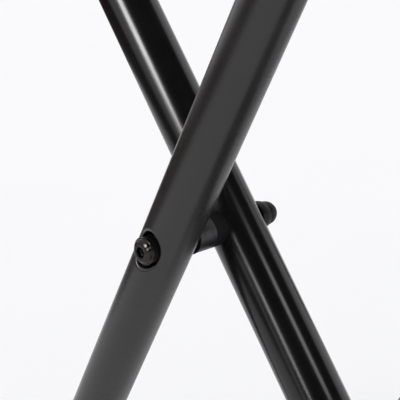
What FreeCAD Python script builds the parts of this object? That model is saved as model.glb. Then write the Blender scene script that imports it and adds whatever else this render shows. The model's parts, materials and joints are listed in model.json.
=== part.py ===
import FreeCAD, Part
import os
import math
import Sketcher

# Folding double-X stand made of round steel tube, millimetres, +Z up.
# X is the width in which the legs cross, Y is the pivot axis from the front
# cross to the rear cross, and the origin is on the floor under the middle.
# The outer frame holds the legs at y = -outer_y and +outer_y and leans
# towards +X as it rises; the inner frame holds the legs at -inner_y and
# +inner_y and leans the other way.  Every piece of a frame is drawn in that
# frame's own axes: local Z along its legs, local Y along the pivot, origin
# at the middle of the pivot axis.

App = FreeCAD
V = App.Vector
doc = App.newDocument("folding_stand")

# ------------------------------------------------------------ dimensions
sheet = doc.addObject("Spreadsheet::Sheet", "Sheet")
DIMS = [
    ("leg_angle", 32.5), ("reach", 480.0), ("foot_axis_height", 18.0),
    ("outer_y", 270.0), ("inner_y", 221.4),
    ("tube_radius", 14.0), ("inner_leg_radius", 15.0), ("tube_wall", 1.5), ("leg_half", 462.0),
    ("foot_bar_half", 320.0), ("arm_half", 310.0),
    # pivot set
    ("recess_half", 8.0), ("recess_half_long", 11.8), ("recess_depth", 9.5),
    ("seat_radius", 6.7),
    ("seat_level", 14.2), ("seat_body_radius", 7.0), ("seat_body_end", 6.9),
    ("seat_nose_radius", 6.0), ("seat_nose_end", 10.9),
    ("head_radius", 7.1), ("head_rise", 3.0), ("head_flange", 1.0),
    ("head_dome_radius", 6.4), ("head_top_radius", 4.3),
    ("socket_flats", 5.0), ("socket_depth", 2.6),
    ("screw_radius", 4.0), ("run_clearance", 0.05), ("hole_clearance", 0.15),
    ("barrel_radius", 8.9), ("barrel_neck", 7.5), ("barrel_bore", 6.0), ("barrel_gap", 1.5),
    ("barrel_long", 11.8), ("barrel_end", 11.0), ("disc_centre_radius", 9.5),
    ("thrust_thick", 0.5), ("thrust_radius", 9.1), ("thrust_stub", 6.5),
    ("nut_disc_radius", 8.0), ("nut_disc_top", 6.9), ("nut_disc_thick", 7.0),
    ("nut_radius", 6.6), ("nut_straight", 2.3), ("nut_tall", 8.8),
    ("nut_bore_depth", 5.6),
    # bar joints
    ("plug_flange_end", 474.0), ("plug_depth", 30.0), ("fit_gap", 0.05),
    ("nut_pocket_start", 441.5), ("hex_nut_thick", 6.5),
    ("hex_nut_across", 13.0), ("bar_screw_end", 440.0),
    # rubber
    ("foot_cap_radius", 19.0), ("foot_cap_wall", 4.0), ("foot_cap_cover", 34.0),
    ("stop_radius", 16.5), ("stop_wall", 5.0), ("stop_cover", 22.0),
    ("stop_lip_top", 38.0), ("stop_lip_half", 12.0),
    ("sleeve_radius", 17.0), ("outer_sleeve_half", 254.0), ("inner_sleeve_half", 204.0),
    # lock
    ("disc_radius", 56.0), ("disc_thick", 4.0), ("disc_face", 254.5),
    ("stud_arm", 44.0), ("slot_half", 4.3), ("fold_min", 10.0), ("fold_max", 130.0),
    ("stud_head_radius", 8.0), ("stud_head_thick", 2.9), ("stud_end", 310.0),
    ("clamp_pad_radius", 11.0), ("clamp_pad_edge", 259.0),
    ("washer_radius", 12.0), ("washer_face", 286.0), ("washer_edge", 280.5),
    ("sleeve_tube_radius", 6.0), ("crush_sleeve_half", 12.55),
    ("knob_face", 286.1), ("knob_hub_radius", 12.5), ("knob_hub", 9.0),
    ("knob_radius", 25.0), ("knob_tall", 33.0), ("knob_scallop", 9.5),
    ("knob_scallop_arm", 30.5), ("insert_radius", 6.5), ("insert_long", 20.0),
    ("knob_bore_depth", 26.0),
    ("rivet_radius", 2.5), ("rivet_head", 4.6), ("rivet_near", 24.0),
    ("rivet_far", 44.0), ("disc_spacer_radius", 7.0),
]


class Q:
    """A length with its number and the sheet expression that gives it."""

    def __init__(self, value, text):
        self.v = float(value)
        self.t = text

    def _q(o):
        return o if isinstance(o, Q) else Q(o, repr(float(o)))

    def __add__(a, b):
        b = Q._q(b)
        return Q(a.v + b.v, "(%s + %s)" % (a.t, b.t))

    __radd__ = __add__

    def __sub__(a, b):
        b = Q._q(b)
        return Q(a.v - b.v, "(%s - %s)" % (a.t, b.t))

    def __rsub__(a, b):
        return Q._q(b) - a

    def __mul__(a, b):
        b = Q._q(b)
        return Q(a.v * b.v, "(%s * %s)" % (a.t, b.t))

    __rmul__ = __mul__

    def __truediv__(a, b):
        b = Q._q(b)
        return Q(a.v / b.v, "(%s / %s)" % (a.t, b.t))

    def __neg__(a):
        return Q(-a.v, "(0 - %s)" % a.t)


D = {}
for row, (alias, value) in enumerate(DIMS, start=1):
    sheet.set("A%d" % row, alias)
    sheet.set("B%d" % row, repr(value))
    sheet.setAlias("B%d" % row, alias)
    D[alias] = Q(value, "Sheet.%s" % alias)
doc.recompute()


class Dim:
    def __getattr__(self, name):
        return D[name]


d = Dim()
ALPHA = math.radians(d.leg_angle.v)
COS = Q(math.cos(ALPHA), "cos(Sheet.leg_angle * 1deg)")
SIN = Q(math.sin(ALPHA), "sin(Sheet.leg_angle * 1deg)")
pivot_z = d.foot_axis_height + d.reach * COS
tube_inner = d.tube_radius - d.tube_wall

NODES = []


# --------------------------------------------------------------- helpers
def bind(obj, prop, q):
    """Set a length property to its number and bind it to the sheet."""
    setattr(obj, prop, q.v)
    obj.setExpression(prop, q.t)


def place(obj, x=None, y=None, z=None, axis=None, angle=None):
    """Place a piece, with every part of the placement bound to the sheet."""
    pos = [q.v if q is not None else 0.0 for q in (x, y, z)]
    rot = App.Rotation(V(*axis), angle.v) if axis else App.Rotation()
    obj.Placement = App.Placement(V(*pos), rot)
    for name, q in (("x", x), ("y", y), ("z", z)):
        if q is not None:
            obj.setExpression("Placement.Base." + name, q.t)
    if axis:
        obj.setExpression("Placement.Rotation.Angle", "%s * 1deg" % angle.t)


def frame_outer(obj):
    place(obj, z=pivot_z, axis=(0, 1, 0), angle=d.leg_angle)


def frame_inner(obj):
    place(obj, z=pivot_z, axis=(0, -1, 0), angle=d.leg_angle)


def node(obj, label, put=None):
    obj.Label = label
    if put is not None:
        put(obj)
    NODES.append(obj)
    return obj


def body(name):
    return doc.addObject("PartDesign::Body", name)


def sketch(b, name, role, level=None):
    """A sketch on one of the body's own origin planes, or level off it."""
    s = b.newObject("Sketcher::SketchObject", name)
    plane = [f for f in b.Origin.OriginFeatures if f.Role == role][0]
    s.AttachmentSupport = [(plane, "")]
    s.MapMode = "FlatFace"
    if level is not None:
        s.AttachmentOffset = App.Placement(V(0, 0, level.v), App.Rotation())
        s.setExpression("AttachmentOffset.Base.z", level.t)
    return s


def pin_point(s, geo, pos, x, y):
    for kind, axis, q in (("DistanceX", -2, x), ("DistanceY", -1, y)):
        if isinstance(q, (int, float)) and q == 0:
            s.addConstraint(Sketcher.Constraint("PointOnObject", geo, pos, axis))
            continue
        q = Q._q(q)
        i = s.addConstraint(Sketcher.Constraint(kind, -1, 1, geo, pos, q.v))
        s.setExpression("Constraints[%d]" % i, q.t)


def circle(s, x, y, radius):
    xv = x.v if isinstance(x, Q) else x
    yv = y.v if isinstance(y, Q) else y
    g = s.addGeometry(Part.Circle(V(xv, yv, 0), V(0, 0, 1), radius.v), False)
    if xv == 0 and yv == 0:
        s.addConstraint(Sketcher.Constraint("Coincident", g, 3, -1, 1))
    else:
        pin_point(s, g, 3, x, y)
    i = s.addConstraint(Sketcher.Constraint("Radius", g, radius.v))
    s.setExpression("Constraints[%d]" % i, radius.t)
    return g


def oval(s, x, y, half_x, half_y):
    """An ellipse whose long axis is the sketch's own upright."""
    x, y = Q._q(x), Q._q(y)
    g = s.addGeometry(Part.Ellipse(V(x.v, y.v + half_y.v, 0), V(x.v + half_x.v, y.v, 0),
                                   V(x.v, y.v, 0)), False)
    s.exposeInternalGeometry(g)
    if x.v == 0 and y.v == 0:
        s.addConstraint(Sketcher.Constraint("Coincident", g, 3, -1, 1))
    else:
        pin_point(s, g, 3, 0 if x.v == 0 else x, 0 if y.v == 0 else y)
    s.addConstraint(Sketcher.Constraint("Vertical", g + 1))
    for line, half in ((g + 1, half_y), (g + 2, half_x)):
        size = half * 2
        i = s.addConstraint(Sketcher.Constraint("Distance", line, size.v))
        s.setExpression("Constraints[%d]" % i, size.t)
    return g


def polygon(s, points):
    """A closed outline whose every corner is bound to the sheet."""
    pts = [(Q._q(a), Q._q(b)) for a, b in points]
    n = len(pts)
    first = None
    for k in range(n):
        a, b = pts[k], pts[(k + 1) % n]
        g = s.addGeometry(Part.LineSegment(V(a[0].v, a[1].v, 0),
                                           V(b[0].v, b[1].v, 0)), False)
        if first is None:
            first = g
    for k in range(n):
        s.addConstraint(Sketcher.Constraint("Coincident", first + k, 2,
                                            first + (k + 1) % n, 1))
    for k in range(n):
        x, y = points[k]
        pin_point(s, first + k, 1, x, y)


def pad(b, name, s, length, both=False, reverse=False):
    p = b.newObject("PartDesign::Pad", name)
    p.Profile = s
    if both:
        p.SideType = "Symmetric"
    p.Reversed = reverse
    bind(p, "Length", length)
    return p


def pocket(b, name, s, length, both=False, reverse=False):
    before = solid_volume(b)
    p = b.newObject("PartDesign::Pocket", name)
    p.Profile = s
    if both:
        p.SideType = "Symmetric"
    p.Reversed = reverse
    bind(p, "Length", length)
    doc.recompute()
    after = solid_volume(b)
    if not after < before - 1e-3:
        raise RuntimeError("pocket %s removed nothing" % name)
    return p


def solid_volume(b):
    doc.recompute()
    return b.Shape.Volume


def spin(b, name, s, axis):
    """A full revolution about the sketch's own H_Axis or V_Axis."""
    r = b.newObject("PartDesign::Revolution", name)
    r.Profile = s
    r.ReferenceAxis = (s, [axis])
    r.Angle = 360.0
    return r


def soften(b, name, radius, pick):
    """Fillet the edges of the body's present tip that pick() accepts."""
    doc.recompute()
    tip = b.Tip
    names = ["Edge%d" % (i + 1) for i, e in enumerate(tip.Shape.Edges) if pick(e)]
    if not names:
        raise RuntimeError("no edges for %s" % name)
    f = b.newObject("PartDesign::Fillet", name)
    f.Base = (tip, names)
    bind(f, "Radius", radius)
    doc.recompute()
    return f


def mirrored(source, name, normal):
    m = doc.addObject("Part::Mirroring", name)
    m.Source = source
    m.Base = V(0, 0, 0)
    m.Normal = V(*normal)
    return m


def group(name, links):
    c = doc.addObject("Part::Compound", name)
    c.Links = links
    return c


def cyl(name, radius, height, x=None, y=None, z=None, along="z"):
    """A cylinder along local z, or along +y from its placement point."""
    c = doc.addObject("Part::Cylinder", name)
    bind(c, "Radius", radius)
    bind(c, "Height", height)
    if along == "y":
        place(c, x, y, z, axis=(-1, 0, 0), angle=Q(90, "90"))
    else:
        place(c, x, y, z)
    return c


def cut(name, base, tool):
    c = doc.addObject("Part::Cut", name)
    c.Base = base
    c.Tool = tool
    return c


def fuse(name, parts):
    c = doc.addObject("Part::MultiFuse", name)
    c.Shapes = parts
    return c


# ------------------------------------------------------------------ legs
def leg(name, y, radius_out, bores):
    """Round tube along local Z.  bores: (name, z, radius, side), where side
    is -1 for the wall towards -Y, +1 towards +Y and 0 for both walls; no
    radius means the oval recess of a screw head."""
    b = body(name)
    s = sketch(b, name + "_section", "XY_Plane")
    circle(s, 0, y, radius_out)
    circle(s, 0, y, radius_out - d.tube_wall)
    pad(b, name + "_tube", s, d.leg_half * 2, both=True)
    for k, (tag, z, radius, side) in enumerate(bores):
        t = sketch(b, "%s_%s" % (name, tag), "XZ_Plane", level=-y)
        if radius is None:
            oval(t, 0, z, d.recess_half, d.recess_half_long)
        else:
            circle(t, 0, z, radius)
        depth = radius_out + 1
        if side == 0:
            pocket(b, "%s_%s_cut" % (name, tag), t, depth * 2, both=True)
        else:
            pocket(b, "%s_%s_cut" % (name, tag), t, depth, reverse=(side < 0))
    return b


screw_hole = d.screw_radius + d.hole_clearance

node(leg("outer_leg_front_body", -d.outer_y, d.tube_radius, [
    ("recess", 0, None, -1), ("screw_way", 0, screw_hole, 1)]),
    "outer_leg_front", frame_outer)
node(leg("outer_leg_rear_body", d.outer_y, d.tube_radius, [
    ("recess", 0, None, 1), ("screw_way", 0, screw_hole, -1),
    ("clamp_way", d.stud_arm, d.sleeve_tube_radius + d.fit_gap, 0)]),
    "outer_leg_rear", frame_outer)
node(leg("inner_leg_front_body", -d.inner_y, d.inner_leg_radius, [
    ("barrel_way", 0, d.barrel_neck, -1), ("screw_way", 0, screw_hole, 1)]),
    "inner_leg_front", frame_inner)
node(leg("inner_leg_rear_body", d.inner_y, d.inner_leg_radius, [
    ("barrel_way", 0, d.barrel_neck, 1), ("screw_way", 0, screw_hole, -1),
    ("rivet_near", d.rivet_near, d.rivet_radius, 1),
    ("rivet_far", -d.rivet_far, d.rivet_radius, 1)]),
    "inner_leg_rear", frame_inner)


# ------------------------------------------------------------------ bars
def bar(name, z, half, y_screw, up):
    """Round tube along local Y at height z, with a screw way and a sunk
    recess opposite the leg at y = -y_screw and +y_screw."""
    b = body(name)
    s = sketch(b, name + "_section", "XZ_Plane")
    circle(s, 0, z, d.tube_radius)
    circle(s, 0, z, tube_inner)
    pad(b, name + "_tube", s, half * 2, both=True)
    for tag, out in (("recess", True), ("screw_way", False)):
        t = sketch(b, "%s_%s" % (name, tag), "XY_Plane", level=z)
        for y in (-y_screw, y_screw):
            if out:
                oval(t, 0, y, d.recess_half, d.recess_half_long)
            else:
                circle(t, 0, y, screw_hole)
        towards_plus_z = (out == up)
        pocket(b, "%s_%s_cut" % (name, tag), t, d.tube_radius + 1,
               reverse=towards_plus_z)
    return b


node(bar("outer_foot_bar_body", -d.reach, d.foot_bar_half, d.outer_y, False),
     "outer_foot_bar", frame_outer)
node(bar("outer_top_arm_body", d.reach, d.arm_half, d.outer_y, True),
     "outer_top_arm", frame_outer)
node(bar("inner_foot_bar_body", -d.reach, d.foot_bar_half, d.inner_y, False),
     "inner_foot_bar", frame_inner)
node(bar("inner_top_arm_body", d.reach, d.arm_half, d.inner_y, True),
     "inner_top_arm", frame_inner)


# ----------------------------------------------------------- pivot pieces
def turned(name, points, axis="H_Axis"):
    """A piece turned about local Y: points are (y, radius)."""
    b = body(name)
    s = sketch(b, name + "_profile", "YZ_Plane")
    polygon(s, points)
    spin(b, name + "_turned", s, axis)
    return b


def head_socket(b, name, level, role="XZ_Plane", x=0, y=0):
    """Hexagon socket sunk from the head's top."""
    doc.recompute()
    s = sketch(b, name + "_hexagon", role, level=level)
    r = d.socket_flats / math.sqrt(3.0)
    pts = []
    for k in range(6):
        a = math.radians(60 * k + 30)
        pts.append((Q._q(x) + r * math.cos(a), Q._q(y) + r * math.sin(a)))
    polygon(s, pts)
    return pocket(b, name + "_socket", s, d.socket_depth)


yo = -d.outer_y
yi = -d.inner_y
head_top = d.seat_level + d.head_rise
outer_back = yo + d.tube_radius          # crown of the outer leg facing the inner
inner_back = yi + d.inner_leg_radius     # crown of the inner leg facing inboard
nut_face = inner_back + d.nut_disc_thick + d.fit_gap
barrel_front = outer_back + d.barrel_gap

screw_b = turned("pivot_screw_body", [
    (yo - head_top, 0), (yo - head_top, d.head_top_radius),
    (yo - head_top + 0.5, d.head_dome_radius - 0.9),
    (yo - head_top + 1.1, d.head_dome_radius - 0.2),
    (yo - d.seat_level - d.head_flange, d.head_dome_radius),
    (yo - d.seat_level - d.head_flange, d.head_radius), (yo - d.seat_level, d.head_radius),
    (yo - d.seat_level, d.screw_radius),
    (nut_face + 4.3, d.screw_radius), (nut_face + 4.3, 0)])
head_socket(screw_b, "pivot_screw", -(yo - head_top))
node(group("pivot_screws_set", [screw_b, mirrored(screw_b, "pivot_screw_rear", (0, 1, 0))]),
     "pivot_screws", frame_outer)

seat_b = turned("seat_bush_body", [
    (yo - d.seat_level, screw_hole), (yo - d.seat_level, d.seat_radius),
    (yo - d.recess_depth, d.seat_radius), (yo - d.recess_depth, d.seat_body_radius),
    (yo + d.seat_body_end, d.seat_body_radius), (yo + d.seat_body_end, d.seat_nose_radius),
    (yo + d.seat_nose_end, d.seat_nose_radius), (yo + d.seat_nose_end, screw_hole)])
node(group("seat_bushes_set", [seat_b, mirrored(seat_b, "seat_bush_rear", (0, 1, 0))]),
     "pivot_seat_bushes", frame_outer)

thrust_b = turned("thrust_washer_body", [
    (outer_back + d.fit_gap, screw_hole), (outer_back + d.fit_gap, d.thrust_stub),
    (barrel_front - d.fit_gap - d.thrust_thick, d.thrust_stub),
    (barrel_front - d.fit_gap - d.thrust_thick, d.thrust_radius),
    (barrel_front - d.fit_gap, d.thrust_radius), (barrel_front - d.fit_gap, screw_hole)])
node(group("thrust_washers_set", [thrust_b, mirrored(thrust_b, "thrust_washer_rear", (0, 1, 0))]),
     "thrust_washers", frame_outer)

barrel_step = barrel_front + d.barrel_long
barrel_back = yi + d.barrel_end          # inside the leg, short of its far wall
for tag, side in (("front", 1.0), ("rear", -1.0)):
    barrel = turned("pivot_barrel_%s_body" % tag, [
        (barrel_front * side, d.barrel_bore), (barrel_front * side, d.barrel_radius),
        (barrel_step * side, d.barrel_radius), (barrel_step * side, d.barrel_neck),
        (barrel_back * side, d.barrel_neck), (barrel_back * side, d.barrel_bore)])
    node(barrel, "pivot_barrel_" + tag, frame_inner)

bush_b = turned("pivot_bush_body", [
    (barrel_front, d.screw_radius + d.run_clearance), (barrel_front, d.barrel_bore),
    (barrel_back, d.barrel_bore), (barrel_back, d.screw_radius + d.run_clearance)])
node(group("pivot_bushes_set", [bush_b, mirrored(bush_b, "pivot_bush_rear", (0, 1, 0))]),
     "pivot_bushes", frame_inner)

disc_b = turned("nut_disc_body", [
    (inner_back + d.fit_gap, d.screw_radius), (inner_back + d.fit_gap, d.nut_disc_radius),
    (inner_back + d.nut_disc_thick * 0.5, d.nut_disc_radius),
    (nut_face - 1.0, (d.nut_disc_radius + d.nut_disc_top) / 2.0),
    (nut_face, d.nut_disc_top), (nut_face, d.screw_radius)])
node(group("nut_discs_set", [disc_b, mirrored(disc_b, "nut_disc_rear", (0, 1, 0))]),
     "nut_washers", frame_outer)

nut_b = turned("cap_nut_body", [
    (nut_face, d.screw_radius), (nut_face, d.nut_radius - 0.4),
    (nut_face + 0.4, d.nut_radius), (nut_face + d.nut_straight, d.nut_radius),
    (nut_face + d.nut_straight + 2.5, d.nut_radius * 0.925),
    (nut_face + d.nut_straight + 4.6, d.nut_radius * 0.71),
    (nut_face + d.nut_straight + 6.0, d.nut_radius * 0.4),
    (nut_face + d.nut_tall, 0),
    (nut_face + d.nut_bore_depth, 0), (nut_face + d.nut_bore_depth, d.screw_radius)])
node(group("cap_nuts_set", [nut_b, mirrored(nut_b, "cap_nut_rear", (0, 1, 0))]),
     "cap_nuts", frame_outer)


# --------------------------------------- leg ends, bar screws and inserts
def leg_end(tag, y, radius_out, put):
    """Four saddle plugs, hexagon nuts, sunk screws and seat bushes of one
    frame: modelled at the foot of the front leg and mirrored."""
    y = -y
    bar_z = -d.reach
    b = body(tag + "_plug_body")
    s = sketch(b, tag + "_plug_flange_outline", "XY_Plane", level=-d.leg_half)
    circle(s, 0, y, radius_out)
    circle(s, 0, y, screw_hole)
    pad(b, tag + "_plug_flange", s, d.plug_flange_end - d.leg_half, reverse=True)
    s = sketch(b, tag + "_plug_spigot_outline", "XY_Plane", level=-d.leg_half)
    circle(s, 0, y, radius_out - d.tube_wall)
    circle(s, 0, y, screw_hole)
    pad(b, tag + "_plug_spigot", s, d.plug_depth)
    s = sketch(b, tag + "_plug_saddle_outline", "XZ_Plane", level=-y)
    circle(s, 0, bar_z, d.tube_radius + d.fit_gap)
    pocket(b, tag + "_plug_saddle", s, d.tube_radius * 3, both=True)
    # hexagon pocket for the nut, open at the spigot's inner end
    s = sketch(b, tag + "_plug_nut_outline", "XY_Plane", level=-d.leg_half + d.plug_depth)
    r = d.hex_nut_across / math.sqrt(3.0)
    polygon(s, [(r * math.cos(math.radians(60 * k)), y + r * math.sin(math.radians(60 * k)))
                if k not in (0, 3) else
                (r * (1.0 if k == 0 else -1.0), y) for k in range(6)])
    pocket(b, tag + "_plug_nut_pocket", s, d.nut_pocket_start + d.hex_nut_thick
           - d.leg_half + d.plug_depth)
    plugs = [b]
    for end in ("foot", "top"):
        for side in ("front", "rear"):
            if (end, side) == ("foot", "front"):
                continue
            src = b
            if side == "rear":
                src = mirrored(b, "%s_plug_%s_rear_m" % (tag, end), (0, 1, 0))
            if end == "top":
                src = mirrored(src, "%s_plug_%s_%s_t" % (tag, end, side), (0, 0, 1))
            plugs.append(src)
    names = ["foot_front", "foot_rear", "top_front", "top_rear"]

    def four(src, name):
        rear = mirrored(src, name + "_rear", (0, 1, 0))
        top = mirrored(src, name + "_top", (0, 0, 1))
        both = mirrored(rear, name + "_rear_top", (0, 0, 1))
        return [src, rear, top, both]

    for n, p in zip(names, plugs):
        c = group("%s_plug_%s_piece" % (tag, n), [p])
        node(c, "%s_leg_plug_%s" % (tag, n), put)

    nb = body(tag + "_nut_body")
    s = sketch(nb, tag + "_nut_outline", "XY_Plane",
               level=-(d.nut_pocket_start + d.hex_nut_thick))
    r = (d.hex_nut_across - d.fit_gap * 2) / math.sqrt(3.0)
    polygon(s, [(r * math.cos(math.radians(60 * k)), y + r * math.sin(math.radians(60 * k)))
                if k not in (0, 3) else
                (r * (1.0 if k == 0 else -1.0), y) for k in range(6)])
    circle(s, 0, y, d.screw_radius)
    pad(nb, tag + "_nut_pad", s, d.hex_nut_thick)
    node(group(tag + "_nuts_set", four(nb, tag + "_nut")), tag + "_plug_nuts", put)

    # screw and seat bush turned about a line parallel to local Z
    sb = body(tag + "_bar_screw_body")
    s = sketch(sb, tag + "_bar_screw_profile", "XZ_Plane", level=-y)
    polygon(s, [
        (0, bar_z - head_top), (d.head_top_radius, bar_z - head_top),
        (d.head_dome_radius - 0.9, bar_z - head_top + 0.5),
        (d.head_dome_radius - 0.2, bar_z - head_top + 1.1),
        (d.head_dome_radius, bar_z - d.seat_level - d.head_flange),
        (d.head_radius, bar_z - d.seat_level - d.head_flange),
        (d.head_radius, bar_z - d.seat_level),
        (d.screw_radius, bar_z - d.seat_level),
        (d.screw_radius, -d.bar_screw_end), (0, -d.bar_screw_end)])
    spin(sb, tag + "_bar_screw_turned", s, "V_Axis")
    doc.recompute()
    s = sketch(sb, tag + "_bar_screw_hexagon", "XY_Plane", level=bar_z - head_top)
    r = d.socket_flats / math.sqrt(3.0)
    polygon(s, [(r * math.cos(math.radians(60 * k)), y + r * math.sin(math.radians(60 * k)))
                if k not in (0, 3) else
                (r * (1.0 if k == 0 else -1.0), y) for k in range(6)])
    pocket(sb, tag + "_bar_screw_socket", s, d.socket_depth, reverse=True)
    node(group(tag + "_bar_screws_set", four(sb, tag + "_bar_screw")),
         tag + "_bar_screws", put)

    bb = body(tag + "_bar_seat_body")
    s = sketch(bb, tag + "_bar_seat_profile", "XZ_Plane", level=-y)
    polygon(s, [
        (screw_hole, bar_z - d.seat_level), (d.seat_radius, bar_z - d.seat_level),
        (d.seat_radius, bar_z - d.recess_depth), (d.seat_body_radius, bar_z - d.recess_depth),
        (d.seat_body_radius, bar_z + d.seat_body_end),
        (d.seat_nose_radius, bar_z + d.seat_body_end),
        (d.seat_nose_radius, bar_z + d.seat_nose_end), (screw_hole, bar_z + d.seat_nose_end)])
    spin(bb, tag + "_bar_seat_turned", s, "V_Axis")
    node(group(tag + "_bar_seats_set", four(bb, tag + "_bar_seat")),
         tag + "_bar_seat_bushes", put)


leg_end("outer", d.outer_y, d.tube_radius, frame_outer)
leg_end("inner", d.inner_y, d.inner_leg_radius, frame_inner)

# ---------------------------------------------------------- rubber pieces
foot_x = d.reach * SIN
top_z = pivot_z + d.reach * COS


def foot_cap(name, x, side):
    """Round cup over the bar's end with a flat to stand on.  Drawn in the
    floor's own axes, the bar's axis on local Y."""
    b = body(name + "_body")
    tip = d.foot_bar_half + d.foot_cap_wall
    s = sketch(b, name + "_round", "XZ_Plane", level=-tip)
    circle(s, 0, 0, d.foot_cap_radius)
    pad(b, name + "_pad", s, d.foot_cap_cover)
    s = sketch(b, name + "_bore", "XZ_Plane", level=-d.foot_bar_half)
    circle(s, 0, 0, d.tube_radius)
    pocket(b, name + "_bore_cut", s, d.foot_cap_cover, reverse=True)
    s = sketch(b, name + "_flat", "XZ_Plane", level=-tip - 1)
    polygon(s, [(-d.foot_cap_radius - 2, -d.foot_axis_height),
                (-d.foot_cap_radius - 2, -d.foot_axis_height - 6),
                (d.foot_cap_radius + 2, -d.foot_axis_height - 6),
                (d.foot_cap_radius + 2, -d.foot_axis_height)])
    pocket(b, name + "_flat_cut", s, d.foot_cap_cover + 4, reverse=True)
    soften(b, name + "_round_edge", Q(2.2, "2.2"),
           lambda e: abs(e.BoundBox.YMax - tip.v) < 1e-4 and abs(e.BoundBox.YMin - tip.v) < 1e-4)
    if side < 0:
        m = mirrored(b, name + "_mirror", (0, 1, 0))
        b = group(name + "_piece", [m])
    node(b, name, lambda o: place(o, x=x, z=d.foot_axis_height))


foot_cap("foot_cap_outer_rear", -foot_x, 1)
foot_cap("foot_cap_outer_front", -foot_x, -1)
foot_cap("foot_cap_inner_rear", foot_x, 1)
foot_cap("foot_cap_inner_front", foot_x, -1)


def arm_stop(name, x, side):
    """Cup over the arm's end whose end wall rises into a rounded lip."""
    b = body(name + "_body")
    tip = d.arm_half + d.stop_wall
    s = sketch(b, name + "_round", "XZ_Plane", level=-tip)
    circle(s, 0, 0, d.stop_radius)
    pad(b, name + "_pad", s, d.stop_cover)
    s = sketch(b, name + "_lip", "XZ_Plane", level=-tip)
    lip_round = d.stop_lip_top - d.stop_lip_half
    polygon(s, [(-d.stop_lip_half, 0), (d.stop_lip_half, 0),
                (d.stop_lip_half, lip_round), (d.stop_lip_half * 0.72, d.stop_lip_top - 2.5),
                (d.stop_lip_half * 0.4, d.stop_lip_top), (-d.stop_lip_half * 0.4, d.stop_lip_top),
                (-d.stop_lip_half * 0.72, d.stop_lip_top - 2.5), (-d.stop_lip_half, lip_round)])
    pad(b, name + "_lip_pad", s, d.stop_wall)
    s = sketch(b, name + "_bore", "XZ_Plane", level=-d.arm_half)
    circle(s, 0, 0, d.tube_radius)
    pocket(b, name + "_bore_cut", s, d.stop_cover, reverse=True)
    if side < 0:
        m = mirrored(b, name + "_mirror", (0, 1, 0))
        b = group(name + "_piece", [m])
    node(b, name, lambda o: place(o, x=x, z=top_z))


arm_stop("arm_stop_outer_rear", foot_x, 1)
arm_stop("arm_stop_outer_front", foot_x, -1)
arm_stop("arm_stop_inner_rear", -foot_x, 1)
arm_stop("arm_stop_inner_front", -foot_x, -1)


def arm_sleeve(name, half, put):
    b = body(name + "_body")
    s = sketch(b, name + "_section", "XZ_Plane")
    circle(s, 0, d.reach, d.sleeve_radius)
    circle(s, 0, d.reach, d.tube_radius)
    pad(b, name + "_pad", s, half * 2, both=True)
    node(b, name, put)


arm_sleeve("outer_arm_sleeve", d.outer_sleeve_half, frame_outer)
arm_sleeve("inner_arm_sleeve", d.inner_sleeve_half, frame_inner)

# ------------------------------------------------------------------- lock
# Steel disc beside the rear inner leg, with an arc slot for the clamp stud.
disc_back = d.disc_face - d.disc_thick
R90 = App.Rotation(V(1, 0, 0), -90)


def sector(name, radius):
    """Cylinder sector over the slot's sweep, its axis along local Y."""
    c = doc.addObject("Part::Cylinder", name)
    bind(c, "Radius", radius)
    bind(c, "Height", d.disc_thick + 2)
    c.Angle = d.fold_max.v - d.fold_min.v
    c.setExpression("Angle", "(Sheet.fold_max - Sheet.fold_min) * 1deg")
    spin_q = App.Rotation(V(0, 0, 1), d.fold_min.v - 90.0)
    c.Placement = App.Placement(V(0, disc_back.v - 1, 0), R90.multiply(spin_q))
    c.setExpression("Placement.Base.y", (disc_back - 1).t)
    return c


plate = cyl("disc_plate", d.disc_radius, d.disc_thick, y=disc_back, along="y")
band = cut("slot_band", sector("slot_outer", d.stud_arm + d.slot_half),
           sector("slot_inner", d.stud_arm - d.slot_half))
ends = []
for tag, ang in (("low", d.fold_min), ("high", d.fold_max)):
    sx = d.stud_arm * Q(math.sin(math.radians(ang.v)), "sin(%s * 1deg)" % ang.t)
    sz = d.stud_arm * Q(math.cos(math.radians(ang.v)), "cos(%s * 1deg)" % ang.t)
    ends.append(cyl("slot_end_" + tag, d.slot_half, d.disc_thick + 2, x=sx,
                    y=disc_back - 1, z=sz, along="y"))
centre = cyl("disc_centre", d.disc_centre_radius, d.disc_thick + 2,
             y=disc_back - 1, along="y")
holes = []
for tag, z in (("near", d.rivet_near), ("far", -d.rivet_far)):
    holes.append(cyl("disc_rivet_hole_" + tag, d.rivet_radius, d.disc_thick + 2,
                     y=disc_back - 1, z=z, along="y"))
    k = doc.addObject("Part::Cone", "disc_sink_" + tag)
    bind(k, "Radius1", d.rivet_radius)
    bind(k, "Radius2", d.rivet_head)
    bind(k, "Height", d.rivet_head - d.rivet_radius)
    place(k, y=d.disc_face - (d.rivet_head - d.rivet_radius), z=z,
          axis=(-1, 0, 0), angle=Q(90, "90"))
    holes.append(k)
tools = fuse("disc_openings", [band, centre] + ends + holes)
node(cut("lock_disc_piece", plate, tools), "lock_disc", frame_inner)


def rivet(tag, z):
    """Countersunk rivet through disc, spacer and the leg's near wall."""
    inside = d.inner_y + 12.85
    b = body("rivet_%s_body" % tag)
    s = sketch(b, "rivet_%s_profile" % tag, "YZ_Plane")
    # turned about local Y first, then moved along local Z as a whole
    polygon(s, [(inside - 2.2, 0), (inside - 2.2, d.rivet_radius + 1.0),
                (inside - 1.2, d.rivet_radius + 1.6), (inside, d.rivet_radius + 1.6),
                (inside, d.rivet_radius),
                (d.disc_face - (d.rivet_head - d.rivet_radius), d.rivet_radius),
                (d.disc_face, d.rivet_head), (d.disc_face, 0)])
    spin(b, "rivet_%s_turned" % tag, s, "H_Axis")
    place(b, z=z)
    return b


node(group("disc_rivets_set", [rivet("near", d.rivet_near), rivet("far", -d.rivet_far)]),
     "disc_rivets", frame_inner)


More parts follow.
